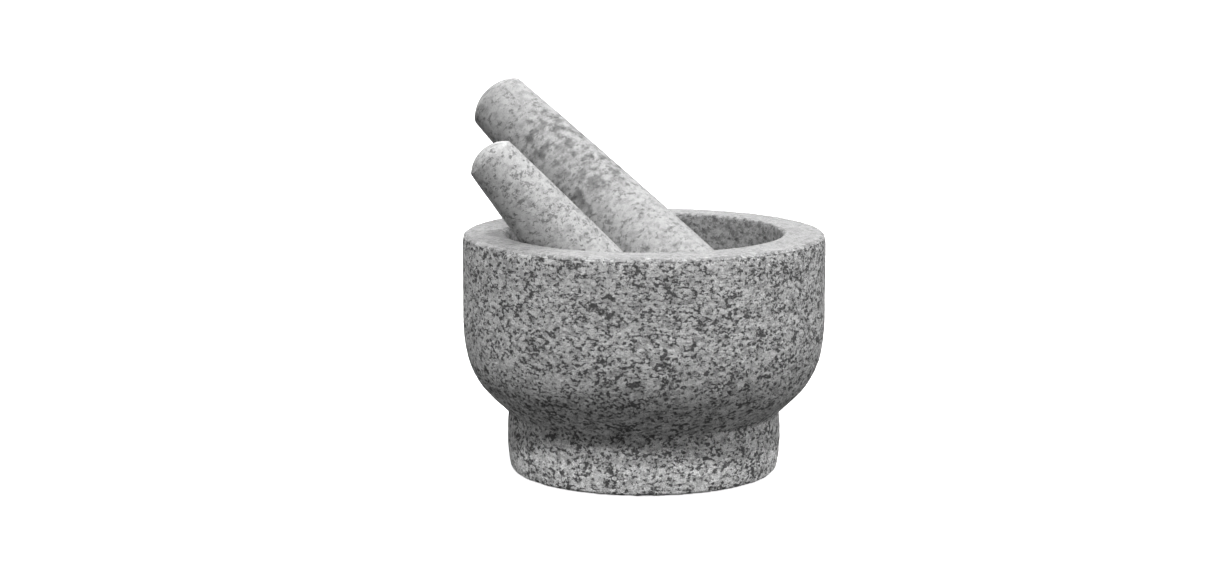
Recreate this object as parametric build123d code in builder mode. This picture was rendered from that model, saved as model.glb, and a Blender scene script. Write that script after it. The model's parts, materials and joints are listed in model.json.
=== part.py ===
from build123d import *
import os
from math import asin, atan, cos, hypot, pi, radians, sin, sqrt

# A turned granite mortar on a round foot, with a large and a small granite pestle leaning in its bowl.
# Millimetres and degrees. The frame's origin is the middle of the foot's flat base, and +Z is the
# mortar's own axis. Plan headings are counted from +X towards +Y.

# Mortar, outside
mortar_height = 134.0
body_diameter = 203.0
rim_outer_round = 3.5
overhang = 25.1           # how far the body stands out past the neck
foot_height = 33.5        # from the base up to the neck, the corner under the body
foot_swell = 1.0          # how far the foot's side bulges from a straight line
base_inset = 0.7          # how much narrower the foot is at its base than at the neck
base_round = 2.5
neck_round = 3.0
flare_angle = 46.0        # lean of the straight flare above the neck, from the vertical
belly_low_radius = 43.0
belly_high_radius = 80.0
belly_join_angle = 14.0   # lean of the outline where the two belly arcs meet, from the vertical

# Mortar, inside
rim_width = 24.0
rim_inner_round = 2.0
bowl_depth = 94.0
bowl_straight_wall = 16.5   # height of the upright wall above the round floor


class PestleSize:
    """One pestle: a tapered shaft with a round grinding end and a low domed top."""

    def __init__(self, length, grind_radius, top_radius, top_dome, top_round, shaft_swell):
        self.length = length
        self.grind_radius = grind_radius   # the grinding end is a ball of this radius
        self.top_radius = top_radius
        self.top_dome = top_dome           # how high the top's dome stands
        self.top_round = top_round         # softening of the corner under that dome
        self.shaft_swell = shaft_swell     # how far the shaft bulges from a straight taper


large_size = PestleSize(216.0, 28.4, 18.3, 8.2, 2.0, 0.6)
small_size = PestleSize(165.0, 24.8, 14.0, 6.2, 1.8, 0.4)

# How the pestles stand. Each grinding end sits on the bowl's floor and each shaft leans on the rim.
seat_clearance = 0.35      # grinding end to the bowl
lean_clearance = 0.35      # shaft to the rim
pestle_clearance = 3.75     # one pestle to the other
small_seat_heading = -83.8
small_seat_dip = 50.3      # how far below the horizontal the seat lies, seen from the bowl's centre
small_lean_turn = -97.0    # plan angle from the seat's heading to the lean's heading
large_seat_dip = 39.0
large_lean_turn = 130.6

# How the large pestle is moved round the bowl until it clears the small one. Where no turn of its seat
# is enough, its lean is fanned further out and its seat goes up the bowl's side, step by step.
seat_turn_from = 60.0
seat_turn_to = 200.0
seat_turn_step = 5.0
spread_steps = 7
fan_step = 5.0
rise_step = 5.0

# How the pestles lift out
lift_relief = 8.0          # the lift is this much steeper than the lean, so the thick end clears the rim
lift_over_rim = 10.0       # how far above the rim the grinding end stops

# How finely places are worked out
halvings = 40
rim_steps = 16
wall_steps = 24
floor_steps = 240
shaft_steps = 60
shaft_gap_steps = 48
lean_from_share = 0.25     # the lean is looked for above this share of the shaft

body_radius = body_diameter / 2
neck_radius = body_radius - overhang
base_radius = neck_radius - base_inset
bowl_radius = body_radius - rim_width
wall_foot = mortar_height - bowl_straight_wall
floor_drop = bowl_depth - bowl_straight_wall
bowl_centre = Vector(0, 0, wall_foot)


def heading_vector(heading, elevation):
    """Return the unit vector with this plan heading and this angle above the horizontal."""
    flat = cos(radians(elevation))
    return Vector(flat * cos(radians(heading)), flat * sin(radians(heading)), sin(radians(elevation)))


def first_value(is_met, unmet, met):
    """Return the value nearest to unmet at which is_met still holds, between unmet and met."""
    for halving in range(halvings):
        middle = (unmet + met) / 2
        if is_met(middle):
            met = middle
        else:
            unmet = middle
    return met


def bowl_outline():
    """Return (radius, height) points down the inside of the bowl, from its rim to its lowest point."""
    points = []
    for step in range(rim_steps + 1):
        turn = pi / 2 * step / rim_steps
        points.append((
            bowl_radius + rim_inner_round * (1 - sin(turn)),
            mortar_height - rim_inner_round * (1 - cos(turn)),
        ))
    for step in range(1, wall_steps):
        drop = rim_inner_round + (bowl_straight_wall - rim_inner_round) * step / wall_steps
        points.append((bowl_radius, mortar_height - drop))
    for step in range(floor_steps + 1):
        turn = pi / 2 * step / floor_steps
        points.append((bowl_radius * cos(turn), wall_foot - floor_drop * sin(turn)))
    return points


inside_of_bowl = bowl_outline()


def gap_to_bowl(centre, radius):
    """Return the gap between a ball and the inside of the bowl, rim edge included."""
    out = hypot(centre.X, centre.Y)
    return min(hypot(out - r, centre.Z - z) for r, z in inside_of_bowl) - radius


class PestlePose:
    """Where a pestle stands: its grinding end's centre and the direction up its shaft."""

    def __init__(self, size, seat_heading, seat_dip, lean_turn):
        self.size = size
        self.seat_dip = seat_dip
        self.lean_turn = lean_turn
        self.reach = first_value(self.is_seat_clear, bowl_radius + floor_drop, 0.0)
        self.turn_to(seat_heading, 90.0)
        self.turn_to(seat_heading, first_value(self.is_lean_clear, 0.0, 90.0))

    def seat_at(self, seat_heading, reach):
        """Return the grinding end's centre at this heading and distance from the bowl's centre."""
        return bowl_centre + heading_vector(seat_heading, -self.seat_dip) * reach

    def is_seat_clear(self, reach):
        """Tell whether the grinding end clears the bowl this far out from the bowl's centre."""
        return gap_to_bowl(self.seat_at(0.0, reach), self.size.grind_radius) >= seat_clearance

    def is_lean_clear(self, elevation):
        """Tell whether the shaft clears the rim when it stands at this elevation."""
        balls = self.shaft_balls(elevation, lean_from_share, shaft_steps)
        return min(gap_to_bowl(centre, radius) for centre, radius in balls) >= lean_clearance

    def turn_to(self, seat_heading, elevation):
        """Stand the pestle at this heading round the bowl and this elevation."""
        self.centre = self.seat_at(seat_heading, self.reach)
        self.heading = seat_heading + self.lean_turn
        self.elevation = elevation
        self.axis = heading_vector(self.heading, elevation)
        self.tip = self.centre - self.axis * self.size.grind_radius

    def shaft_balls(self, elevation, from_share, steps):
        """Return (centre, radius) balls that fill the shaft above a share of its length."""
        axis = heading_vector(self.heading, elevation)
        size = self.size
        run = size.length - size.top_dome - size.grind_radius
        balls = []
        for step in range(steps + 1):
            share = from_share + (1 - from_share) * step / steps
            taper = size.grind_radius + (size.top_radius - size.grind_radius) * share
            swell = 4 * size.shaft_swell * share * (1 - share)
            balls.append((self.centre + axis * (run * share), taper + swell))
        return balls

    def all_balls(self):
        """Return (centre, radius) balls that fill the whole pestle, for its gap to the other one."""
        return self.shaft_balls(self.elevation, 0.0, shaft_gap_steps)

    def outline_plane(self):
        """Return the plane of the pestle's outline, with its tip at the origin and its shaft up Y."""
        side = Vector(0, 0, 1).cross(self.axis).normalized()
        return Plane(origin=self.tip, x_dir=side, z_dir=side.cross(self.axis))

    def lift(self):
        """Return the direction and the length of the straight pull that takes the pestle out."""
        direction = heading_vector(self.heading, min(90.0, self.elevation + lift_relief))
        lowest = self.centre.Z - self.size.grind_radius
        return direction, (mortar_height + lift_over_rim - lowest) / direction.Z


def gap_between(one, other):
    """Return the gap between two standing pestles."""
    return min((a - b).length - r - s for a, r in one.all_balls() for b, s in other.all_balls())


def draw_pestle_outline(size):
    """Draw half of a pestle's outline into the open BuildLine, radius along X and length along Y."""
    shoulder = size.length - size.top_dome
    rise = shoulder - size.grind_radius
    half_taper = asin(size.grind_radius / hypot(size.top_radius, rise)) - atan(size.top_radius / rise)
    ball_end = (
        size.grind_radius * cos(half_taper),
        size.grind_radius * (1 + sin(half_taper)),
    )
    ball_middle = (size.grind_radius * sin(pi / 4), size.grind_radius * (1 - cos(pi / 4)))
    swell_point = (
        (ball_end[0] + size.top_radius) / 2 + size.shaft_swell,
        (ball_end[1] + shoulder) / 2,
    )
    dome_radius = (size.top_radius**2 + size.top_dome**2) / (2 * size.top_dome)
    dome_turn = asin(size.top_radius / dome_radius) / 2
    dome_middle = (
        dome_radius * sin(dome_turn),
        size.length - dome_radius * (1 - cos(dome_turn)),
    )
    ThreePointArc((0, 0), ball_middle, ball_end)
    ThreePointArc(ball_end, swell_point, (size.top_radius, shoulder))
    ThreePointArc((size.top_radius, shoulder), dome_middle, (0, size.length))
    Line((0, size.length), (0, 0))


# The mortar's outline, from the base up the foot and the belly, over the rim and down the bowl.
belly_rise = (
    belly_high_radius * sin(radians(belly_join_angle))
    + belly_low_radius * (sin(radians(flare_angle)) - sin(radians(belly_join_angle)))
)
belly_reach = (
    belly_high_radius * (1 - cos(radians(belly_join_angle)))
    + belly_low_radius * (cos(radians(belly_join_angle)) - cos(radians(flare_angle)))
)
flare_reach = overhang - belly_reach
flare_rise = flare_reach * cos(radians(flare_angle)) / sin(radians(flare_angle))
belly_top = foot_height + flare_rise + belly_rise
neck = (neck_radius, foot_height)

with BuildPart() as mortar:
    with BuildSketch(Plane.XZ) as mortar_outline:
        with BuildLine():
            Line((0, 0), (base_radius, 0))
            ThreePointArc(
                (base_radius, 0),
                ((base_radius + neck_radius) / 2 + foot_swell, foot_height / 2),
                neck,
            )
            Line(neck, (neck_radius + flare_reach, foot_height + flare_rise))
            JernArc(
                start=(neck_radius + flare_reach, foot_height + flare_rise),
                tangent=(sin(radians(flare_angle)), cos(radians(flare_angle))),
                radius=belly_low_radius,
                arc_size=flare_angle - belly_join_angle,
            )
            JernArc(
                start=(
                    body_radius - belly_high_radius * (1 - cos(radians(belly_join_angle))),
                    belly_top - belly_high_radius * sin(radians(belly_join_angle)),
                ),
                tangent=(sin(radians(belly_join_angle)), cos(radians(belly_join_angle))),
                radius=belly_high_radius,
                arc_size=belly_join_angle,
            )
            Line((body_radius, belly_top), (body_radius, mortar_height))
            Line((body_radius, mortar_height), (bowl_radius, mortar_height))
            Line((bowl_radius, mortar_height), (bowl_radius, wall_foot))
            Bezier(
                (bowl_radius, wall_foot),
                (bowl_radius, wall_foot - floor_drop),
                (0, wall_foot - floor_drop),
                weights=[1, sqrt(0.5), 1],   # these make it a true quarter of an ellipse
            )
            Line((0, wall_foot - floor_drop), (0, 0))
        make_face()
        fillet(mortar_outline.vertices().sort_by_distance((base_radius, 0))[0], base_round)
        fillet(mortar_outline.vertices().sort_by_distance(neck)[0], neck_round)
        fillet(mortar_outline.vertices().sort_by_distance((body_radius, mortar_height))[0], rim_outer_round)
        fillet(mortar_outline.vertices().sort_by_distance((bowl_radius, mortar_height))[0], rim_inner_round)
    revolve(axis=Axis.Z)
mortar.part.label = "mortar"

def stand_beside(other, spread):
    """Turn the large pestle's seat round the bowl until it clears the other pestle.

    Returns its pose after this many steps of spreading, and whether it clears.
    """
    dip = large_seat_dip - spread * rise_step
    pose = PestlePose(large_size, small_seat_heading, dip, large_lean_turn - spread * fan_step)

    def is_clear(turn):
        pose.turn_to(small_seat_heading + turn, pose.elevation)
        return gap_between(other, pose) >= pestle_clearance

    turn = seat_turn_from
    while turn < seat_turn_to:
        if is_clear(turn + seat_turn_step):
            return pose, is_clear(first_value(is_clear, turn, turn + seat_turn_step))
        turn += seat_turn_step
    return pose, False


# The small pestle stands where it is put, and the large one is moved round until it clears it.
small_pose = PestlePose(small_size, small_seat_heading, small_seat_dip, small_lean_turn)
for spread in range(spread_steps + 1):
    large_pose, is_beside = stand_beside(small_pose, spread)
    if is_beside:
        break

with BuildPart() as large_pestle:
    with BuildSketch(large_pose.outline_plane()) as large_outline:
        with BuildLine():
            draw_pestle_outline(large_size)
        make_face()
        large_shoulder = (large_size.top_radius, large_size.length - large_size.top_dome)
        fillet(large_outline.vertices().sort_by_distance(large_shoulder)[0], large_size.top_round)
    revolve(axis=Axis(large_pose.tip, large_pose.axis))
large_pestle.part.label = "large_pestle"

with BuildPart() as small_pestle:
    with BuildSketch(small_pose.outline_plane()) as small_outline:
        with BuildLine():
            draw_pestle_outline(small_size)
        make_face()
        small_shoulder = (small_size.top_radius, small_size.length - small_size.top_dome)
        fillet(small_outline.vertices().sort_by_distance(small_shoulder)[0], small_size.top_round)
    revolve(axis=Axis(small_pose.tip, small_pose.axis))
small_pestle.part.label = "small_pestle"

for name, pose in (("large_pestle", large_pose), ("small_pestle", small_pose)):
    direction, travel = pose.lift()
    print(f"{name}: tip {tuple(pose.tip)} axis {tuple(pose.axis)}")
    print(f"{name}: lift {tuple(direction)} travel {travel:.1f}")

os.makedirs("parts", exist_ok=True)
export_step(mortar.part, "parts/mortar.step")
export_step(large_pestle.part, "parts/large_pestle.step")
export_step(small_pestle.part, "parts/small_pestle.step")
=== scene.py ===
"""A turned granite mortar with a large and a small granite pestle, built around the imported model."""

from __future__ import annotations

import json
import logging
import math
from collections.abc import Callable
from dataclasses import dataclass, field
from enum import Enum

import bpy
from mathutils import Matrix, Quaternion, Vector


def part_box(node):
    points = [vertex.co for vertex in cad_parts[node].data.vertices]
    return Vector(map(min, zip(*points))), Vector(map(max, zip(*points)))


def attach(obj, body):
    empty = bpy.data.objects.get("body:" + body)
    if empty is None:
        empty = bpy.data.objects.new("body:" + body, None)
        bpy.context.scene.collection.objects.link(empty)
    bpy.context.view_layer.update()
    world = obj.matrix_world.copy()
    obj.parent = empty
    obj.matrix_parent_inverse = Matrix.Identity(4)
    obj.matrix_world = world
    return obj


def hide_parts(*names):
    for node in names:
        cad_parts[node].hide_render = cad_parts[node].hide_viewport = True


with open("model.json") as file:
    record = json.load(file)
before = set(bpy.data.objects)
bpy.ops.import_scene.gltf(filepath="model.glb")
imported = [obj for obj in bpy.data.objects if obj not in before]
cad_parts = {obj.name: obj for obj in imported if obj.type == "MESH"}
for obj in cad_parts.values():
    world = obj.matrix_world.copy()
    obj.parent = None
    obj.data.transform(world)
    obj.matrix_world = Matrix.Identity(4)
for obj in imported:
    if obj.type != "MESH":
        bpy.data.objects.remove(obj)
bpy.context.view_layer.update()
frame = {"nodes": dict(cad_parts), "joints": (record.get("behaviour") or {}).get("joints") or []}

MM = 0.001
log = logging.getLogger("molcajete")


# ---------------------------------------------------------------------------------------------------
# Shader maths
# ---------------------------------------------------------------------------------------------------


class Wire:
    """A number that runs between a material's nodes, so that sums can be written as Python."""

    def __init__(self, recipe: Recipe, socket: bpy.types.NodeSocket) -> None:
        """Hold a socket of the recipe's node tree."""
        self.recipe = recipe
        self.socket = socket

    def _math(self, operation: str, first: Wire | float, second: Wire | float) -> Wire:
        """Add a Math node.

        Args:
            operation: The Math node's operation.
            first: Its first value.
            second: Its second value.

        Returns:
            The node's result.
        """
        node = self.recipe.add("ShaderNodeMath", {"operation": operation}, {0: first, 1: second})
        return Wire(self.recipe, node.outputs[0])

    def __add__(self, other: Wire | float) -> Wire:
        """Return self + other."""
        return self._math("ADD", self, other)

    __radd__ = __add__

    def __sub__(self, other: Wire | float) -> Wire:
        """Return self - other."""
        return self._math("SUBTRACT", self, other)

    def __rsub__(self, other: Wire | float) -> Wire:
        """Return other - self."""
        return self._math("SUBTRACT", other, self)

    def __mul__(self, other: Wire | float) -> Wire:
        """Return self * other."""
        return self._math("MULTIPLY", self, other)

    __rmul__ = __mul__

    def __pow__(self, other: Wire | float) -> Wire:
        """Return self ** other."""
        return self._math("POWER", self, other)

    def step(self, low: float, high: float) -> Wire:
        """Turn the number into a smooth step, which falls where low is above high.

        Args:
            low: Where the step is 0.
            high: Where the step is 1.

        Returns:
            The step.
        """
        rising = low < high
        node = self.recipe.add(
            "ShaderNodeMapRange",
            {"interpolation_type": "SMOOTHSTEP"},
            {
                "Value": self,
                "From Min": min(low, high),
                "From Max": max(low, high),
                "To Min": 0.0 if rising else 1.0,
                "To Max": 1.0 if rising else 0.0,
            },
        )
        return Wire(self.recipe, node.outputs["Result"])


class Layer(Enum):
    """The granite's layers of noise. Each value shifts its noise, so that no two look alike."""

    MOTTLE = 0.0
    DUST = 3.0
    FLECKS = 7.0
    CLUSTERS = 11.0
    SMOKE = 17.0
    RAGGED = 21.0
    SPECKLE = 23.0
    TOOL_LINES = 31.0


class Recipe:
    """One material's node tree, written piece by piece."""

    def __init__(self, name: str) -> None:
        """Start an empty material with a Principled shader wired to its output."""
        self.material = bpy.data.materials.new(name)
        self.material.use_nodes = True
        self.tree = self.material.node_tree
        self.tree.nodes.clear()
        self.shader = self.tree.nodes.new("ShaderNodeBsdfPrincipled")
        output = self.tree.nodes.new("ShaderNodeOutputMaterial")
        self.tree.links.new(self.shader.outputs["BSDF"], output.inputs["Surface"])

    def add(self, kind: str, settings: dict, sockets: dict) -> bpy.types.Node:
        """Add a node.

        Args:
            kind: The node's type.
            settings: Its settings by name, set before its sockets.
            sockets: Values or links of its inputs, by name or index.

        Returns:
            The node.
        """
        node = self.tree.nodes.new(kind)
        for name, value in settings.items():
            setattr(node, name, value)
        for name, value in sockets.items():
            self.plug(node.inputs[name], value)
        return node

    def plug(self, socket: bpy.types.NodeSocket, value: object) -> None:
        """Link a Wire or a socket to an input, or set the input's own value.

        Args:
            socket: The input.
            value: What it gets.
        """
        if isinstance(value, Wire):
            value = value.socket
        if isinstance(value, bpy.types.NodeSocket):
            self.tree.links.new(value, socket)
        else:
            socket.default_value = value

    def place(self, stretch: tuple[float, ...], turn: tuple[float, ...]) -> bpy.types.NodeSocket:
        """Return object coordinates in millimetres, turned and then stretched.

        Args:
            stretch: How many pattern units one millimetre is along each axis.
            turn: Euler angles in radians that turn the pattern onto the piece.

        Returns:
            The mapped coordinates' socket.
        """
        where = self.add("ShaderNodeTexCoord", {}, {})
        turned = self.add(
            "ShaderNodeMapping", {"vector_type": "POINT"},
            {"Vector": where.outputs["Object"], "Rotation": turn},
        )
        scaled = self.add(
            "ShaderNodeMapping", {"vector_type": "POINT"},
            {"Vector": turned.outputs["Vector"], "Scale": tuple(s / MM for s in stretch)},
        )
        return scaled.outputs["Vector"]

    def axes(self, turn: tuple[float, ...]) -> tuple[Wire, ...]:
        """Return the turned object coordinates in millimetres, one wire for each axis."""
        place = self.add("ShaderNodeSeparateXYZ", {}, {"Vector": self.place((1.0, 1.0, 1.0), turn)})
        return tuple(Wire(self, place.outputs[axis]) for axis in "XYZ")

    def noise(self, where: bpy.types.NodeSocket, size: float, detail: float = 2.0, rough: float = 0.5,
              bend: float = 0.0, shift: float = 0.0) -> Wire:
        """Return cloudy noise about MIDDLE.

        Args:
            where: The coordinates' socket, in millimetres.
            size: The size of its clouds in millimetres.
            detail: How many finer layers it has.
            rough: How strong the finer layers are.
            bend: How far it is distorted.
            shift: An offset that makes it differ from other noise of the same size.

        Returns:
            The noise.
        """
        node = self.add(
            "ShaderNodeTexNoise", {"noise_dimensions": "4D", "normalize": True},
            {"Vector": where, "W": shift, "Scale": 1.0 / size, "Detail": detail, "Roughness": rough,
             "Distortion": bend},
        )
        return Wire(self, node.outputs[0])

    def crystals(self, where: bpy.types.NodeSocket, size: float) -> Wire:
        """Return a pattern of irregular crystals, each in a grey of its own.

        Args:
            where: The coordinates' socket, in millimetres.
            size: The size of a crystal in millimetres.

        Returns:
            The pattern.
        """
        node = self.add(
            "ShaderNodeTexVoronoi", {"feature": "F1"},
            {"Vector": where, "Scale": 1.0 / size, "Randomness": 1.0},
        )
        parts = self.add("ShaderNodeSeparateColor", {}, {"Color": node.outputs["Color"]})
        return Wire(self, parts.outputs[0])

    def bent(self, where: bpy.types.NodeSocket, size: float, reach: float) -> bpy.types.NodeSocket:
        """Return coordinates that wander by noise, so that crystals get ragged outlines.

        Args:
            where: The coordinates' socket, in millimetres.
            size: The size of the wandering in millimetres.
            reach: How far it wanders in millimetres.

        Returns:
            The new coordinates' socket.
        """
        clouds = self.add(
            "ShaderNodeTexNoise", {"noise_dimensions": "3D"},
            {"Vector": where, "Scale": 1.0 / size, "Detail": 2.0},
        )
        centred = self.add(
            "ShaderNodeVectorMath", {"operation": "SUBTRACT"},
            {0: clouds.outputs["Color"], 1: (MIDDLE, MIDDLE, MIDDLE)},
        )
        moved = self.add(
            "ShaderNodeVectorMath", {"operation": "MULTIPLY_ADD"},
            {0: centred.outputs["Vector"], 1: (reach, reach, reach), 2: where},
        )
        return moved.outputs["Vector"]

    def tint(self, grey: Wire, dark: tuple[float, ...], light: tuple[float, ...]) -> bpy.types.NodeSocket:
        """Turn a brightness into a colour.

        Args:
            grey: The brightness, 0 to 1.
            dark: The colour at 0.
            light: The colour at 1.

        Returns:
            The colour's socket.
        """
        node = self.add(
            "ShaderNodeMix", {"data_type": "RGBA", "clamp_factor": True},
            {0: grey, 6: (*dark, 1.0), 7: (*light, 1.0)},
        )
        return node.outputs[2]

    @staticmethod
    def blend(factor: Wire, first: Wire, second: Wire) -> Wire:
        """Return first where factor is 0 and second where it is 1."""
        return first + (second - first) * factor


# ---------------------------------------------------------------------------------------------------
# Stone
# ---------------------------------------------------------------------------------------------------


@dataclass(frozen=True)
class Granite:
    """How one worked surface of the granite looks. Brightness runs from 0, black, to 1, white."""

    matrix: float          # brightness of the feldspar and quartz
    mottle: float          # how much that brightness wanders from place to place
    grain: float           # contrast of the single crystals
    dust: float            # strength of the finest light and dark dust
    smoke: float           # how dark the grey quartz patches are
    smoke_edge: float      # softness of their outlines
    mica: float            # how dark the mica flecks are, 1 hides the matrix
    mica_cover: float      # threshold of the flecks, lower covers more
    mica_edge: float       # softness of their outlines
    rough: float           # shader roughness
    relief: float          # height of the fine relief in millimetres


TOOLED = Granite(
    matrix=0.46, mottle=0.06, grain=0.11, dust=0.82, smoke=0.36, smoke_edge=0.04,
    mica=0.86, mica_cover=0.512, mica_edge=0.034, rough=0.85, relief=0.22,
)
GROUND = Granite(
    matrix=0.252, mottle=0.05, grain=0.04, dust=0.28, smoke=0.16, smoke_edge=0.05,
    mica=0.50, mica_cover=0.526, mica_edge=0.060, rough=0.60, relief=0.05,
)
PECKED = Granite(
    matrix=0.27, mottle=0.10, grain=0.06, dust=0.22, smoke=0.46, smoke_edge=0.08,
    mica=0.60, mica_cover=0.518, mica_edge=0.080, rough=0.75, relief=0.12,
)
LARGE_RUBBED = Granite(
    matrix=0.345, mottle=0.06, grain=0.03, dust=0.18, smoke=0.26, smoke_edge=0.10,
    mica=0.54, mica_cover=0.514, mica_edge=0.100, rough=0.62, relief=0.06,
)
SMALL_RUBBED = Granite(
    matrix=0.40, mottle=0.04, grain=0.03, dust=0.24, smoke=0.24, smoke_edge=0.07,
    mica=0.60, mica_cover=0.508, mica_edge=0.085, rough=0.62, relief=0.06,
)

MIDDLE = 0.5                    # the noise's mean
BLACK = (0.012, 0.012, 0.012)
WHITE = (1.0, 1.0, 1.0)


@dataclass(frozen=True)
class Pattern:
    """The sizes of the granite's own pattern, in millimetres, and how its layers mix."""

    stretch: tuple[float, ...] = (0.85, 0.85, 1.15)     # crystals lie a little flat
    streaks: tuple[float, ...] = (0.35, 0.35, 1.6)      # the turning tool's lines lie flatter
    mottle_size: float = 12.0
    ragged_size: float = 1.1
    ragged_reach: float = 1.1
    crystal_size: float = 1.6
    dust_size: float = 0.42
    smoke_ratio: float = 1.7       # a smoky patch is this many times as large as a fleck
    cluster_size: float = 7.0
    cluster_share: float = 0.20    # how much the flecks gather in clusters
    smoke_cover: float = 0.54      # threshold of the smoky patches
    mica_gloss: float = 0.15       # how much smoother mica is than its matrix
    dust_relief: float = 0.6
    mica_relief: float = 0.5
    specular: float = 0.35


PATTERN = Pattern()


class GraniteMaterial:
    """The stone's own pattern, worked to one or more finishes."""

    def __init__(self, name: str, turn: tuple[float, ...], fleck_size: float) -> None:
        """Start a granite material.

        Args:
            name: The material's name.
            turn: Euler angles that turn the piece's own axis up Z for the pattern.
            fleck_size: The size of its mica flecks in millimetres.
        """
        self.recipe = Recipe(name)
        self.turn = turn
        self.fleck_size = fleck_size
        self.where = self.recipe.place(PATTERN.stretch, turn)

    def clouds(self, size: float, detail: float = 2.0, rough: float = 0.5, shift: float = 0.0) -> Wire:
        """Return noise about 0 that lies as the crystals do.

        Args:
            size: The size of its clouds in millimetres.
            detail: How many finer layers it has.
            rough: How strong the finer layers are.
            shift: An offset that makes it differ from other noise of the same size.

        Returns:
            The noise.
        """
        return self.recipe.noise(self.where, size, detail, rough, shift=shift) - MIDDLE

    def pattern(self) -> tuple[Wire, ...]:
        """Build the pattern that all finishes share.

        Returns:
            The wandering brightness, the single crystals and the fine dust, each about 0, then the
            smoky quartz and the mica, each about MIDDLE.
        """
        r = self.recipe
        mottle = self.clouds(PATTERN.mottle_size, 3.0, 0.6, Layer.MOTTLE.value)
        ragged = r.bent(self.where, PATTERN.ragged_size, PATTERN.ragged_reach)
        grain = r.crystals(ragged, PATTERN.crystal_size) - MIDDLE
        dust = self.clouds(PATTERN.dust_size, 2.0, 0.8, Layer.DUST.value)
        smoke_size = self.fleck_size * PATTERN.smoke_ratio
        smoke = r.noise(ragged, smoke_size, 3.0, 0.6, shift=Layer.SMOKE.value)
        fleck = r.noise(ragged, self.fleck_size, 4.0, 0.68, bend=0.2, shift=Layer.FLECKS.value)
        cluster = r.noise(self.where, PATTERN.cluster_size, shift=Layer.CLUSTERS.value)
        mica = fleck * (1.0 - PATTERN.cluster_share) + cluster * PATTERN.cluster_share
        return mottle, grain, dust, smoke, mica

    def worked(self, finish: Granite, pattern: tuple[Wire, ...]) -> tuple[Wire, Wire, Wire]:
        """Give the shared pattern one finish.

        Args:
            finish: How the surface was worked.
            pattern: What pattern() returned.

        Returns:
            Its brightness, roughness and relief.
        """
        mottle, grain, dust, smoke, mica = pattern
        flecks = mica.step(finish.mica_cover, finish.mica_cover + finish.mica_edge)
        stone = (
            mottle * (2.0 * finish.mottle)
            + grain * (2.0 * finish.grain)
            + dust * (2.0 * finish.dust)
            + finish.matrix
        )
        cover = PATTERN.smoke_cover
        patches = smoke.step(cover - finish.smoke_edge, cover + finish.smoke_edge)
        brightness = stone * (1.0 - patches * finish.smoke) * (1.0 - flecks * finish.mica)
        gloss = finish.rough * PATTERN.mica_gloss
        rough = (1.0 - flecks) * gloss + (finish.rough - gloss)
        relief = (
            dust * (PATTERN.dust_relief * finish.relief)
            + (MIDDLE - flecks) * (PATTERN.mica_relief * finish.relief)
        )
        return brightness, rough, relief

    def finished(self, brightness: Wire, rough: Wire, relief: Wire) -> bpy.types.Material:
        """Wire the result to the shader.

        Args:
            brightness: The stone's brightness.
            rough: Its roughness.
            relief: Its relief in millimetres.

        Returns:
            The material.
        """
        r = self.recipe
        bump = r.add("ShaderNodeBump", {}, {"Strength": 1.0, "Distance": MM, "Height": relief})
        r.plug(r.shader.inputs["Base Color"], r.tint(brightness, BLACK, WHITE))
        r.plug(r.shader.inputs["Roughness"], rough)
        r.plug(r.shader.inputs["Normal"], bump.outputs["Normal"])
        r.plug(r.shader.inputs["Specular IOR Level"], PATTERN.specular)
        return r.material


# ---------------------------------------------------------------------------------------------------
# Modelling helpers
# ---------------------------------------------------------------------------------------------------


class Relief(Enum):
    """The kinds of roughness that can be pressed into a surface."""

    WAVES = "CLOUDS"
    PITS = "STUCCI"


@dataclass(frozen=True)
class Tooling:
    """One pass of roughening, cut inwards only. Sizes in metres."""

    relief: Relief
    size: float            # size of its features
    depth: float           # its greatest depth
    group: str = ""        # the vertex group that it is kept to, or nothing for all over


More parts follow.
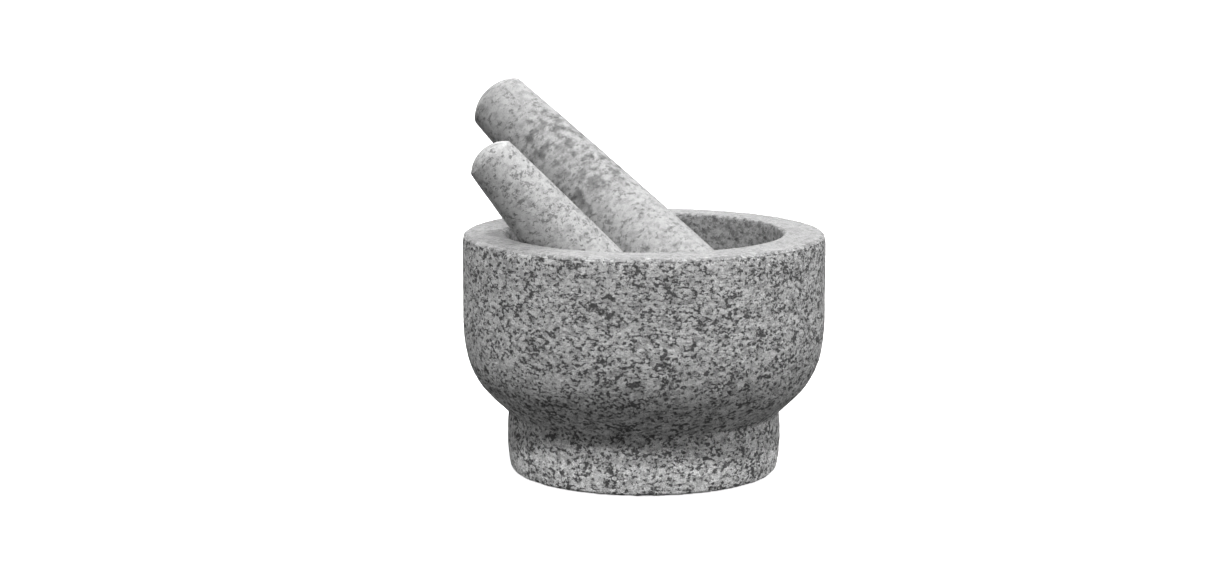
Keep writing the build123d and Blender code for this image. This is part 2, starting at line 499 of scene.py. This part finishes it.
@dataclass
class Outline:
    """Half of a turned shape's outline: radius and height in metres, from pole to pole."""

    points: list[tuple[float, float]] = field(default_factory=list)
    same_place: float = 0.001 * MM
    weld: float = 0.01 * MM

    def to(self, radius: float, height: float, steps: int = 1) -> Outline:
        """Go straight to a point in equal steps, or start there.

        Args:
            radius: The point's radius.
            height: The point's height.
            steps: How many steps it takes.

        Returns:
            The outline.
        """
        if not self.points:
            self.points.append((radius, height))
            return self
        r0, z0 = self.points[-1]
        for step in range(1, steps + 1):
            share = step / steps
            self.points.append((r0 + (radius - r0) * share, z0 + (height - z0) * share))
        return self

    def swelling(self, radius: float, height: float, swell: float, steps: int, last: int) -> Outline:
        """Go to a point along a line that bulges in its middle.

        Args:
            radius: The end's radius.
            height: The end's height.
            swell: How far the line bulges outwards.
            steps: How many equal steps the whole way takes.
            last: The step to stop after.

        Returns:
            The outline.
        """
        r0, z0 = self.points[-1]
        for step in range(1, last + 1):
            share = step / steps
            bulge = 4 * swell * share * (1 - share)
            self.points.append((r0 + (radius - r0) * share + bulge, z0 + (height - z0) * share))
        return self

    def arc(self, centre: tuple[float, float], radii: tuple[float, float], start: float, end: float,
            steps: int) -> Outline:
        """Follow an arc of a circle or an ellipse.

        Args:
            centre: Its centre's radius and height.
            radii: Its half-widths outwards and upwards.
            start: The angle that it starts at, in degrees above outwards.
            end: The angle that it ends at.
            steps: How many steps it gets.

        Returns:
            The outline.
        """
        for step in range(steps + 1):
            angle = math.radians(start + (end - start) * step / steps)
            point = (centre[0] + radii[0] * math.cos(angle), centre[1] + radii[1] * math.sin(angle))
            if not self.points or math.dist(point, self.points[-1]) > self.same_place:
                self.points.append(point)
        return self

    def spun(self, name: str, flats: int) -> bpy.types.Object:
        """Draw the outline vertex by vertex and spin it round the Z axis.

        Args:
            name: The new piece's name.
            flats: How many flats go round it.

        Returns:
            The piece, a closed mesh.
        """
        bpy.ops.object.select_all(action="DESELECT")
        bpy.ops.mesh.primitive_plane_add(size=MM)
        piece = bpy.context.object
        piece.name = piece.data.name = name
        bpy.ops.object.mode_set(mode="EDIT")
        bpy.ops.mesh.select_all(action="SELECT")
        bpy.ops.mesh.merge(type="CENTER")
        radius, height = self.points[0]
        bpy.ops.transform.translate(value=(radius, 0.0, height))
        for (r0, z0), (r1, z1) in zip(self.points, self.points[1:]):
            step = {"value": (r1 - r0, 0.0, z1 - z0)}
            bpy.ops.mesh.extrude_vertices_move(TRANSFORM_OT_translate=step)
        bpy.ops.mesh.select_all(action="SELECT")
        bpy.ops.mesh.spin(steps=flats, angle=math.tau, center=(0, 0, 0), axis=(0, 0, 1))
        bpy.ops.mesh.select_all(action="SELECT")
        bpy.ops.mesh.remove_doubles(threshold=self.weld)
        bpy.ops.mesh.normals_make_consistent(inside=False)
        bpy.ops.object.mode_set(mode="OBJECT")
        return piece


REFINED = 2     # subdivision levels of a finished piece


class Piece:
    """A stone piece on the bench: it is refined, roughened and dressed with Blender's own tools."""

    def __init__(self, thing: bpy.types.Object) -> None:
        """Take a closed mesh object."""
        self.thing = thing

    def pick(self) -> None:
        """Make this the one selected piece."""
        bpy.ops.object.select_all(action="DESELECT")
        self.thing.select_set(True)
        bpy.context.view_layer.objects.active = self.thing

    def apply(self, kind: str, **settings: object) -> None:
        """Add a modifier and apply it.

        Args:
            kind: The modifier's type.
            **settings: Its settings by name.
        """
        self.pick()
        modifier = self.thing.modifiers.new(kind.lower(), kind)
        for name, value in settings.items():
            setattr(modifier, name, value)
        bpy.ops.object.modifier_apply(modifier=modifier.name)

    def refine(self, levels: int) -> None:
        """Round the mesh by subdivision."""
        self.apply("SUBSURF", levels=levels, render_levels=levels)

    def weigh(self, name: str, weight: Callable[[Vector], float]) -> None:
        """Make a vertex group.

        Args:
            name: The group's name.
            weight: A function from a vertex's place to its weight, 0 to 1.
        """
        group = self.thing.vertex_groups.new(name=name)
        for vertex in self.thing.data.vertices:
            value = weight(vertex.co)
            if value > 0.0:
                group.add([vertex.index], value, "REPLACE")

    def roughen(self, tooling: Tooling) -> None:
        """Press roughness into the surface.

        Args:
            tooling: The pass of roughening.
        """
        name = f"{self.thing.name}_{tooling.relief.name}"
        texture = bpy.data.textures.new(name, tooling.relief.value)
        texture.noise_scale = tooling.size
        self.apply(
            "DISPLACE", texture=texture, texture_coords="LOCAL", direction="NORMAL",
            mid_level=1.0, strength=tooling.depth, vertex_group=tooling.group,
        )
        bpy.data.textures.remove(texture)

    def stand(self, tip: Vector, turn: Quaternion) -> None:
        """Turn the piece, move it, and put its new place into its mesh.

        Args:
            tip: Where its foot goes.
            turn: How it is turned from upright, a quaternion.
        """
        self.thing.rotation_mode = "QUATERNION"
        self.thing.rotation_quaternion = turn
        self.thing.location = tip
        self.pick()
        bpy.ops.object.transform_apply(location=True, rotation=True, scale=True)

    def finish(self, body: str, node: str, slot: str, material: bpy.types.Material) -> None:
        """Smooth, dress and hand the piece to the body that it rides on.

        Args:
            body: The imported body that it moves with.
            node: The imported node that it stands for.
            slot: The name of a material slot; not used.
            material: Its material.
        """
        self.thing.vertex_groups.clear()
        self.thing.data.materials.clear()
        self.thing.data.materials.append(material)
        self.pick()
        bpy.ops.object.shade_smooth()
        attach(self.thing, body)
        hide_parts(node)
        triangles = sum(len(p.vertices) - 2 for p in self.thing.data.polygons)
        log.info("%s: %d triangles, rides on %s", self.thing.name, triangles, body)


# ---------------------------------------------------------------------------------------------------
# The mortar
# ---------------------------------------------------------------------------------------------------


@dataclass(frozen=True)
class MortarSteps:
    """How many steps each stretch of the mortar's outline takes."""

    flats: int = 84
    base: int = 6
    base_round: int = 4
    foot: int = 5
    neck: int = 3
    low_belly: int = 5
    high_belly: int = 3
    wall: int = 9
    rim_outer: int = 4
    rim_top: int = 4
    rim_inner: int = 3
    bowl_wall: int = 3
    bowl_floor: int = 18


@dataclass(frozen=True)
class MortarSkin:
    """Where the mortar's finishes meet and how raggedly, and the painted light and shade on its foot.
    Sizes in millimetres.
    """

    fleck_size: float = 1.9
    ragged_size: float = 4.0
    speckle_size: float = 1.3
    rim_sink: float = 0.55                          # share of the outer rounding that is tooled
    rim_blend: tuple[float, float] = (-0.6, 1.4)
    rim_ragged: float = 4.0
    rim_speckle: float = 7.0
    bowl_blend: float = 0.6
    bowl_ragged: float = 2.0
    bowl_floor: tuple[float, float] = (38.0, 40.0)  # the bowl's finish ends here, inside the stone
    painted_foot_light: tuple[float, float] = (21.0, 13.0)        # painted light: a band low on the foot is made paler
    painted_foot_light_ragged: float = 8.0
    painted_foot_light_gain: float = 0.48
    painted_contact_shadow: tuple[float, float] = (2.2, 0.6)          # painted shadow: the foot's lowest edge is made darker where it meets the table
    painted_contact_shadow_ragged: float = 1.5
    painted_contact_shadow_dark: float = 0.6
    line_size: float = 2.4
    line_depth: float = 0.5


@dataclass
class Mortar:
    """The stone bowl on its foot. Sizes in metres, angles in degrees from the upright."""

    radius: float
    height: float
    rim_width: float = 24.0 * MM
    rim_outer_round: float = 3.5 * MM
    rim_inner_round: float = 2.0 * MM
    overhang: float = 25.1 * MM
    foot_height: float = 33.5 * MM
    foot_swell: float = 1.0 * MM
    base_inset: float = 0.7 * MM
    base_round: float = 2.5 * MM
    neck_round: float = 3.0 * MM
    flare: float = 46.0
    flare_share: float = 0.6        # where the straight flare is pinned, to keep it straight
    belly_low: float = 43.0 * MM
    belly_high: float = 80.0 * MM
    belly_join: float = 14.0
    bowl_depth: float = 94.0 * MM
    straight_wall: float = 16.5 * MM
    proud: float = 0.15 * MM        # turned this much too wide, because tooling cuts inwards
    edge_reach: float = 7.0 * MM    # how far wear reaches from an edge
    wall_skin: float = 7.2 * MM     # all this near the outside is wall, and not bowl
    foot_skin: float = 4.0 * MM     # the outer part of the underside that is tooled
    rim_skin: float = 2.0 * MM      # the top of the wall that isn't tooled
    bowl_free: float = 67.0 * MM    # below this height the wall weight needs no wall_skin
    steps: MortarSteps = MortarSteps()
    skin: MortarSkin = MortarSkin()
    tooling: tuple[Tooling, ...] = (
        Tooling(Relief.WAVES, 9.0 * MM, 0.25 * MM, "wall"),
        Tooling(Relief.PITS, 4.0 * MM, 0.30 * MM, "wall"),
        Tooling(Relief.WAVES, 5.0 * MM, 0.8 * MM, "edges"),
    )

    def outline(self) -> Outline:
        """Return the outline from the middle of the base, over the rim, to the bowl's lowest point."""
        line = Outline().to(0.0, 0.0)
        self.draw_foot(line)
        self.draw_belly(line)
        self.draw_rim(line)
        self.draw_bowl(line)
        return line

    @property
    def outside(self) -> float:
        """Return the wall's radius before tooling."""
        return self.radius + self.proud

    @property
    def bowl(self) -> float:
        """Return the bowl's radius."""
        return self.radius - self.rim_width

    def draw_foot(self, line: Outline) -> None:
        """Draw the flat base and the foot's slightly swollen side, up to the neck.

        Args:
            line: The outline, drawn on from its last point.
        """
        neck = self.outside - self.overhang
        base = neck - self.base_inset
        b, n = self.base_round, self.neck_round
        turn = 90 - self.flare
        neck_z = self.foot_height - n * math.tan(math.radians(turn) / 2)
        line.to(base - b, 0.0, self.steps.base)
        line.arc((base - b, b), (b, b), -90, 0, self.steps.base_round)
        line.swelling(neck, neck_z, self.foot_swell, self.steps.foot, self.steps.foot - 1)
        line.arc((neck + n, neck_z), (n, n), 180, 180 - turn, self.steps.neck)

    def draw_belly(self, line: Outline) -> None:
        """Draw the straight flare and the belly's two arcs, which meet smoothly.

        Args:
            line: The outline, drawn on from its last point.
        """
        neck = self.outside - self.overhang
        low, high = self.belly_low, self.belly_high
        flare, join = math.radians(self.flare), math.radians(self.belly_join)
        reach = high * (1 - math.cos(join)) + low * (math.cos(join) - math.cos(flare))
        rise = high * math.sin(join) + low * (math.sin(flare) - math.sin(join))
        flare_out = self.overhang - reach
        flare_up = flare_out / math.tan(flare)
        top = self.foot_height + flare_up + rise
        high_centre = (self.outside - high, top)
        low_centre = (
            high_centre[0] + (high - low) * math.cos(join),
            top - (high - low) * math.sin(join),
        )
        share = self.flare_share
        line.to(neck + flare_out * share, self.foot_height + flare_up * share)
        line.arc(low_centre, (low, low), -self.flare, -self.belly_join, self.steps.low_belly)
        line.arc(high_centre, (high, high), -self.belly_join, 0, self.steps.high_belly)

    def draw_rim(self, line: Outline) -> None:
        """Draw the upright wall and the flat rim with its two rounded edges.

        Args:
            line: The outline, drawn on from its last point.
        """
        o, i = self.rim_outer_round, self.rim_inner_round
        line.to(self.outside, self.height - o, self.steps.wall)
        line.arc((self.outside - o, self.height - o), (o, o), 0, 90, self.steps.rim_outer)
        line.to(self.bowl + i, self.height, self.steps.rim_top)
        line.arc((self.bowl + i, self.height - i), (i, i), 90, 180, self.steps.rim_inner)

    def draw_bowl(self, line: Outline) -> None:
        """Draw the bowl's upright wall and its floor, a quarter of an ellipse.

        Args:
            line: The outline, drawn on from its last point.
        """
        wall_foot = self.height - self.straight_wall
        floor = self.bowl_depth - self.straight_wall
        line.to(self.bowl, wall_foot, self.steps.bowl_wall)
        line.arc((0.0, wall_foot), (self.bowl, floor), 0, -90, self.steps.bowl_floor)

    def edge_weight(self, place: Vector) -> float:
        """Weigh how near a place is to the rim's outer edge or the foot's lower edge.

        Args:
            place: The place.

        Returns:
            Its weight, 0 to 1.
        """
        out = math.hypot(place.x, place.y)
        to_rim = math.dist((out, place.z), (self.radius, self.height))
        to_foot = math.dist((out, place.z), (self.radius - self.overhang, 0.0))
        return max(0.0, 1.0 - min(to_rim, to_foot) / self.edge_reach)

    def wall_weight(self, place: Vector) -> float:
        """Weigh the tooled outside against the rim, the bowl and the foot's underside.

        Args:
            place: The place.

        Returns:
            1 on the outside, 0 elsewhere.
        """
        out = math.hypot(place.x, place.y)
        on_wall = out > self.radius - self.wall_skin or place.z < self.bowl_free
        near_axis = out < self.radius - self.overhang - self.foot_skin
        below_rim = place.z < self.height - self.rim_skin
        return 1.0 if on_wall and below_rim and not near_axis else 0.0

    def material(self) -> bpy.types.Material:
        """Return the mortar's granite: tooled outside, ground on the rim and pecked in the bowl."""
        skin = self.skin
        stone = GraniteMaterial("mortar_granite", (0.0, 0.0, 0.0), skin.fleck_size)
        r = stone.recipe
        x, y, z = r.axes(stone.turn)
        out = (x * x + y * y) ** 0.5
        ragged = stone.clouds(skin.ragged_size, 3.0, 0.6, Layer.RAGGED.value)
        speckle = stone.clouds(skin.speckle_size, 3.0, 0.7, Layer.SPECKLE.value)

        rim = (self.height - self.rim_outer_round * skin.rim_sink) / MM
        rim_place = z + ragged * skin.rim_ragged + speckle * skin.rim_speckle
        on_rim = rim_place.step(*(rim + reach for reach in skin.rim_blend))
        lip = (self.bowl + self.rim_inner_round) / MM
        bowl_place = out + ragged * skin.bowl_ragged
        in_bowl = bowl_place.step(lip + skin.bowl_blend, lip - skin.bowl_blend) * z.step(*skin.bowl_floor)

        pattern = stone.pattern()
        finishes = (stone.worked(finish, pattern) for finish in (TOOLED, GROUND, PECKED))
        brightness, rough, relief = (
            r.blend(in_bowl, r.blend(on_rim, tooled, ground), pecked)
            for tooled, ground, pecked in zip(*finishes)
        )
        # Painted light: a band low on the foot is made paler, standing in for the light that falls there.
        painted_foot_light = (z + ragged * skin.painted_foot_light_ragged).step(*skin.painted_foot_light)
        # Painted shadow: the stone is darkened along the foot's lowest edge, where the contact shadow
        # falls.
        painted_contact_shadow = (z + ragged * skin.painted_contact_shadow_ragged).step(*skin.painted_contact_shadow)
        brightness = brightness * (painted_foot_light * skin.painted_foot_light_gain + 1.0) * (1.0 - painted_contact_shadow * skin.painted_contact_shadow_dark)
        flat = r.place(PATTERN.streaks, stone.turn)
        lines = r.noise(flat, skin.line_size, 3.0, 0.6, shift=Layer.TOOL_LINES.value) - MIDDLE
        outside = (1.0 - on_rim) * (1.0 - in_bowl)
        return stone.finished(brightness, rough, relief + lines * outside * skin.line_depth)

    def build(self) -> None:
        """Turn, roughen and dress the mortar."""
        piece = Piece(self.outline().spun("mortar_stone", self.steps.flats))
        piece.refine(REFINED)
        piece.weigh("wall", self.wall_weight)
        piece.weigh("edges", self.edge_weight)
        for tooling in self.tooling:
            piece.roughen(tooling)
        piece.finish("mortar_body", "mortar", "mortar_stone", self.material())


# ---------------------------------------------------------------------------------------------------
# The pestles
# ---------------------------------------------------------------------------------------------------


@dataclass(frozen=True)
class Blotches:
    """The soft dark blotches on a pestle's handled part. Sizes in millimetres."""

    size: float
    dark: float
    span: tuple[float, float]                       # where they lie, as shares of its length
    cover: tuple[float, float] = (0.40, 0.68)       # thresholds of their soft outlines
    wander_size: float = 14.0                       # the span's ends wander
    wander: float = 60.0
    fade: float = 6.0


@dataclass
class Pestle:
    """One tapered pestle with a round grinding end and a low domed top. Sizes in metres."""

    node: str
    grind: float
    top: float
    dome: float
    top_round: float
    swell: float
    fleck_size: float          # millimetres
    blotches: Blotches
    finish: Granite
    seed: float                # what makes its pattern its own
    lift_relief: float = 8.0   # the lift is this many degrees steeper than the shaft
    flats: int = 64
    grind_steps: int = 10
    shaft_steps: int = 22
    dome_steps: int = 7
    arris: float = 0.16        # how far the crisp edge at its top is cut back
    wave_size: float = 5.0     # millimetres
    wave_depth: float = 0.15
    tooling: tuple[Tooling, ...] = (
        Tooling(Relief.WAVES, 12.0 * MM, 0.20 * MM),
        Tooling(Relief.PITS, 4.0 * MM, 0.08 * MM),
    )

    def stance(self) -> tuple[Vector, Vector, float]:
        """Work out from the frame how the pestle stands.

        Returns:
            Its tip, the direction up its shaft and its length.
        """
        joint = next(j for j in frame["joints"] if j["child"] == f"{self.node}_body")
        lift = Vector(joint["axis"])
        heading = math.atan2(lift.y, lift.x)
        elevation = math.asin(lift.z / lift.length) - math.radians(self.lift_relief)
        flat = math.cos(elevation)
        axis = Vector((flat * math.cos(heading), flat * math.sin(heading), math.sin(elevation)))
        low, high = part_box(self.node)
        centre = Vector((high.x - self.grind, low.y + self.grind, low.z + self.grind))
        reach = [axis.dot(v.co) for v in frame["nodes"][self.node].data.vertices]
        return centre - axis * self.grind, axis, max(reach) - min(reach)

    def outline(self, length: float) -> Outline:
        """Draw the outline from the tip of the grinding end up to the top's middle.

        Args:
            length: The pestle's length.

        Returns:
            The outline.
        """
        shoulder = length - self.dome
        rise = shoulder - self.grind
        taper = math.asin(self.grind / math.hypot(self.top, rise)) - math.atan(self.top / rise)
        start_r = self.grind * math.cos(taper)
        start_z = self.grind * (1 + math.sin(taper))
        dome_radius = (self.top**2 + self.dome**2) / (2 * self.dome)
        dome_turn = math.degrees(math.asin(self.top / dome_radius))
        line = Outline().to(0.0, 0.0)
        end = math.degrees(taper)
        line.arc((0.0, self.grind), (self.grind, self.grind), -90, end, self.grind_steps)
        last = 1.0 - 2 * self.top_round / (shoulder - start_z)
        for step in range(1, self.shaft_steps + 1):
            share = last * step / self.shaft_steps
            swell = 4 * self.swell * share * (1 - share)
            radius = start_r + (self.top - start_r) * share + swell
            line.to(radius, start_z + (shoulder - start_z) * share)
        bevel = self.top_round * math.tan(math.radians(90 - dome_turn) / 2)
        line.to(self.top, shoulder - bevel)
        line.to(self.top - self.arris * bevel, shoulder)
        dome_start = dome_turn - math.degrees(bevel / dome_radius)
        centre = (0.0, length - dome_radius)
        return line.arc(centre, (dome_radius, dome_radius), 90 - dome_start, 90, self.dome_steps)

    def blotched(self, stone: GraniteMaterial, foot: float, length: float) -> Wire:
        """Return how dark the blotches on the handled part are.

        Args:
            stone: The pestle's material.
            foot: The tip's height along the pestle's own axis.
            length: The pestle's length.

        Returns:
            Their darkness, 0 to 1.
        """
        look = self.blotches
        up = stone.recipe.axes(stone.turn)[2] - foot / MM
        up = up + stone.clouds(look.wander_size, shift=self.seed + 1.0) * look.wander
        low, high = (share * length / MM for share in look.span)
        handled = up.step(low - look.fade, low + look.fade) * up.step(high + look.fade, high - look.fade)
        cloud = stone.recipe.noise(stone.where, look.size, 2.0, 0.55, shift=self.seed + 5.0)
        return handled * cloud.step(*look.cover) * look.dark

    def material(self, turn: tuple[float, ...], foot: float, length: float) -> bpy.types.Material:
        """Return the pestle's granite.

        Args:
            turn: Euler angles that turn the pestle's own axis up Z.
            foot: The tip's height along that axis.
            length: The pestle's length.

        Returns:
            The material.
        """
        stone = GraniteMaterial(f"{self.node}_granite", turn, self.fleck_size)
        brightness, rough, relief = stone.worked(self.finish, stone.pattern())
        brightness = brightness * (1.0 - self.blotched(stone, foot, length))
        waves = stone.clouds(self.wave_size, shift=self.seed) * self.wave_depth
        return stone.finished(brightness, rough, relief + waves)

    def build(self) -> None:
        """Turn, roughen, stand up and dress the pestle."""
        tip, axis, length = self.stance()
        piece = Piece(self.outline(length).spun(f"{self.node}_stone", self.flats))
        piece.refine(REFINED)
        for tooling in self.tooling:
            piece.roughen(tooling)
        turn = Vector((0, 0, 1)).rotation_difference(axis)
        piece.stand(tip, turn)
        material = self.material(tuple(turn.inverted().to_euler()), axis.dot(tip), length)
        piece.finish(f"{self.node}_body", self.node, "pestle_stone", material)


# ---------------------------------------------------------------------------------------------------
# The studio
# ---------------------------------------------------------------------------------------------------


@dataclass(frozen=True)
class SoftLight:
    """A broad, distant studio light."""

    name: str
    heading: float      # degrees round from the camera's side, to the right
    elevation: float    # degrees above the table
    spread: float       # degrees across, which softens its shadows
    strength: float

    def hang(self) -> None:
        """Hang the light and aim it at the table's middle."""
        lamp = bpy.data.lights.new(self.name, "SUN")
        lamp.angle = math.radians(self.spread)
        lamp.energy = self.strength
        holder = bpy.data.objects.new(self.name, lamp)
        bpy.context.scene.collection.objects.link(holder)
        heading, elevation = math.radians(self.heading), math.radians(self.elevation)
        outwards = Vector((
            math.cos(elevation) * math.sin(heading),
            -math.cos(elevation) * math.cos(heading),
            math.sin(elevation),
        ))
        holder.location = outwards
        holder.rotation_euler = outwards.to_track_quat("Z", "Y").to_euler()


@dataclass
class Studio:
    """A white table under a white dome, four soft lights and the camera."""

    room: float = 12.0             # radius of the table and the dome
    room_flats: int = 96
    paint_rough: float = 0.9
    table_grey: float = 0.60
    table_glow: float = 0.80       # light of its own, like a light table
    dome_glow: float = 1.0
    fill: float = 0.23             # strength of the light from all round
    camera_back: float = 1.388
    camera_height: float = 0.334
    camera_pitch: float = 9.34     # degrees downwards
    camera_yaw: float = 0.68       # degrees to the left
    lens: float = 73.5
    sensor: float = 36.0
    lights: tuple[SoftLight, ...] = (
        SoftLight("front_light", -12.0, 57.0, 7.0, 2.95),
        SoftLight("right_light", 86.0, 47.0, 60.0, 2.65),
        SoftLight("left_light", -75.0, 46.0, 20.0, 0.6),
        SoftLight("back_light", 185.0, 44.0, 40.0, 1.9),
    )

    def build(self) -> None:
        """Lay the table, raise the dome and set the lights and the camera."""
        bpy.ops.object.select_all(action="DESELECT")
        bpy.ops.mesh.primitive_circle_add(
            vertices=self.room_flats, radius=self.room, fill_type="NGON",
        )
        self.paint(bpy.context.object, "table", self.table_grey, self.table_glow)
        bpy.ops.object.select_all(action="DESELECT")
        bpy.ops.mesh.primitive_uv_sphere_add(
            segments=self.room_flats, ring_count=self.room_flats // 2, radius=self.room,
        )
        self.paint(bpy.context.object, "dome", 0.0, self.dome_glow)
        self.set_fill()
        for light in self.lights:
            light.hang()
        self.set_camera()

    def paint(self, sheet: bpy.types.Object, name: str, grey: float, glow: float) -> None:
        """Paint a part of the studio white, and keep its glow off the stone.

        Args:
            sheet: The table or the dome.
            name: Its name.
            grey: How much light it sends back.
            glow: How much light it gives itself.
        """
        sheet.name = name
        paint = Recipe(f"{name}_paint")
        for socket, value in {
            "Base Color": (grey, grey, grey, 1.0),
            "Roughness": self.paint_rough,
            "Specular IOR Level": 0.0,
            "Emission Color": (*WHITE, 1.0),
            "Emission Strength": glow,
        }.items():
            paint.plug(paint.shader.inputs[socket], value)
        sheet.data.materials.append(paint.material)
        sheet.visible_diffuse = False
        sheet.visible_glossy = False
        sheet.visible_shadow = False

    def set_fill(self) -> None:
        """Set the even light from all round."""
        world = bpy.data.worlds.new("sky")
        world.use_nodes = True
        backdrop = world.node_tree.nodes["Background"]
        backdrop.inputs["Color"].default_value = (*WHITE, 1.0)
        backdrop.inputs["Strength"].default_value = self.fill
        bpy.context.scene.world = world

    def set_camera(self) -> None:
        """Stand the camera at its place and make it the scene's own."""
        data = bpy.data.cameras.new("camera")
        data.lens = self.lens
        data.sensor_width = self.sensor
        camera = bpy.data.objects.new("camera", data)
        bpy.context.scene.collection.objects.link(camera)
        camera.location = (0.0, -self.camera_back, self.camera_height)
        tilt, swing = math.radians(90 - self.camera_pitch), math.radians(self.camera_yaw)
        camera.rotation_euler = (tilt, 0.0, swing)
        bpy.context.scene.camera = camera
        bpy.context.scene.view_settings.view_transform = "Standard"


LARGE_PESTLE = Pestle(
    node="large_pestle", grind=28.4 * MM, top=18.3 * MM, dome=8.2 * MM, top_round=2.0 * MM,
    swell=0.6 * MM, fleck_size=2.5, blotches=Blotches(5.0, 0.62, (0.52, 0.84)),
    finish=LARGE_RUBBED, seed=41.0,
)
SMALL_PESTLE = Pestle(
    node="small_pestle", grind=24.8 * MM, top=14.0 * MM, dome=6.2 * MM, top_round=1.8 * MM,
    swell=0.4 * MM, fleck_size=2.0, blotches=Blotches(4.5, 0.18, (0.30, 0.80)),
    finish=SMALL_RUBBED, seed=43.0,
)


def main() -> None:
    """Build the studio and the three pieces of stone."""
    logging.basicConfig(level=logging.INFO, format="%(name)s: %(message)s")
    Studio().build()
    low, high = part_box("mortar")
    Mortar(radius=(high.x - low.x) / 2, height=high.z).build()
    LARGE_PESTLE.build()
    SMALL_PESTLE.build()


if __name__ == "__main__":
    main()
